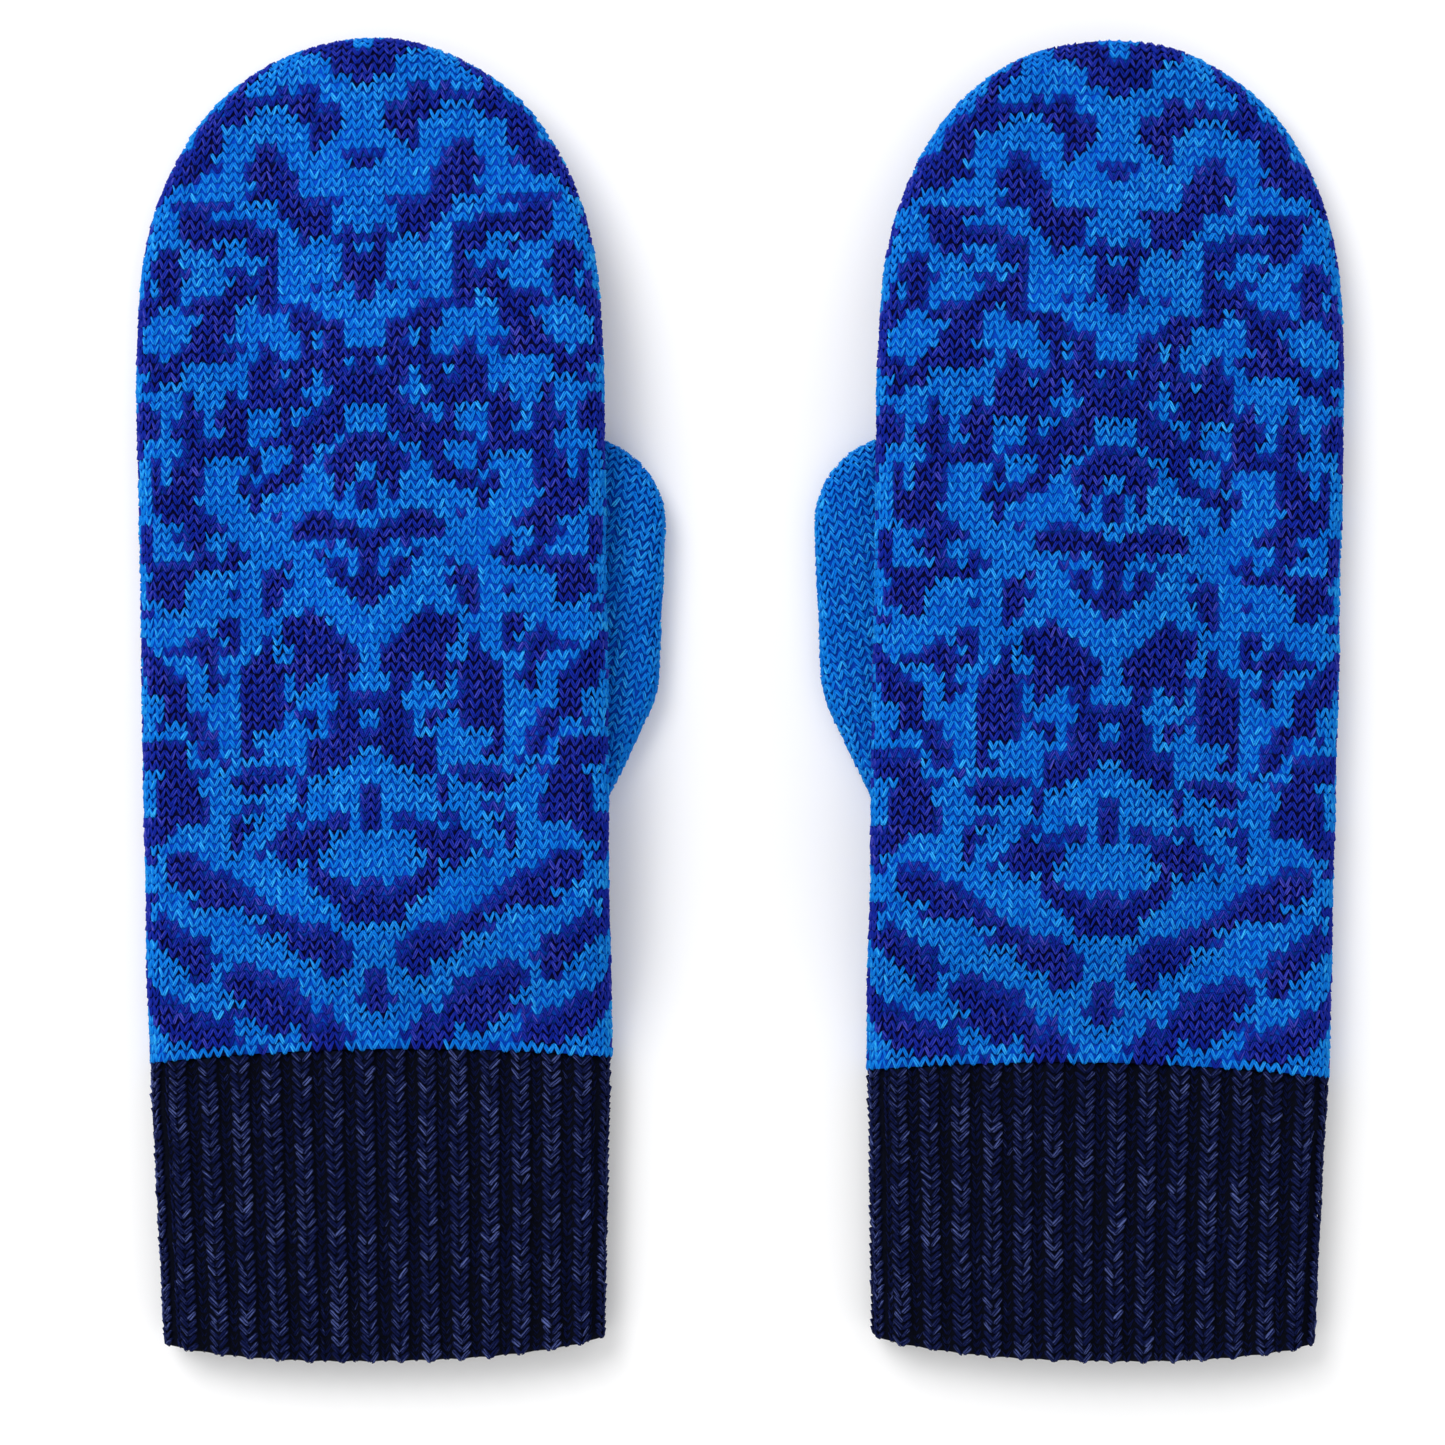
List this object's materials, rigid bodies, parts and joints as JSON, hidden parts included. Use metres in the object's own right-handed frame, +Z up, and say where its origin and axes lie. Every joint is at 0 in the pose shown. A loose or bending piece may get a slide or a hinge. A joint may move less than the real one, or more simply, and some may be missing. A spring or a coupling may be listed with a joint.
{
  "type": "pair of knitted mittens",
  "caption": "Pair of adult knitted mittens lying flat, patterned two-colour hands with round fingertips, plain thumbs and ribbed cuffs.",
  "frame": {"origin": "middle of the pair's box, on the table that it lies on", "axes": "+Z up, away from the table; +Y from the cuffs to the fingertips; +X from the left mitten to the right one"},
  "size_m": [0.257, 0.28, 0.0239],
  "materials": {
    "pattern_knit": "two-colour stranded knitting, bright blue and indigo yarn",
    "thumb_knit": "plain stocking stitch in bright blue yarn",
    "cuff_rib": "one-by-one rib in dark navy yarn",
    "seam_yarn": "single strand of blue yarn"
  },
  "bodies": {
    "left_hand": {"left_hand_back": "pattern_knit", "left_hand_palm": "pattern_knit", "left_side_seam": "seam_yarn", "left_thumb_seam": "seam_yarn", "left_cuff_seam": "seam_yarn"},
    "left_thumb": {"left_thumb": "thumb_knit"},
    "left_cuff": {"left_cuff": "cuff_rib"},
    "right_hand": {"right_hand_back": "pattern_knit", "right_hand_palm": "pattern_knit", "right_side_seam": "seam_yarn", "right_thumb_seam": "seam_yarn", "right_cuff_seam": "seam_yarn"},
    "right_thumb": {"right_thumb": "thumb_knit"},
    "right_cuff": {"right_cuff": "cuff_rib"}
  },
  "joints": [
    {"name": "left_thumb_swing", "type": "hinge", "parent": "left_hand", "child": "left_thumb", "pos_m": [-0.04646, -0.01861, 0], "axis": [0, 0, -1], "range_deg": [-21, 15]},
    {"name": "left_wrist_flex", "type": "hinge", "parent": "left_hand", "child": "left_cuff", "pos_m": [-0.07659, -0.07394, 0.0133], "axis": [-0.9999, -0.014, 0], "range_deg": [0, 60]},
    {"name": "right_mitten_lift", "type": "slide", "parent": "left_hand", "child": "right_hand", "axis": [0, 0, 1], "range_m": [0, 0.08]},
    {"name": "right_thumb_swing", "type": "hinge", "parent": "right_hand", "child": "right_thumb", "pos_m": [0.04615, -0.01851, 0], "axis": [0, 0, 1], "range_deg": [-21, 15]},
    {"name": "right_wrist_flex", "type": "hinge", "parent": "right_hand", "child": "right_cuff", "pos_m": [0.07603, -0.07684, 0.0133], "axis": [-0.9998, 0.0175, 0], "range_deg": [0, 60]}
  ]
}
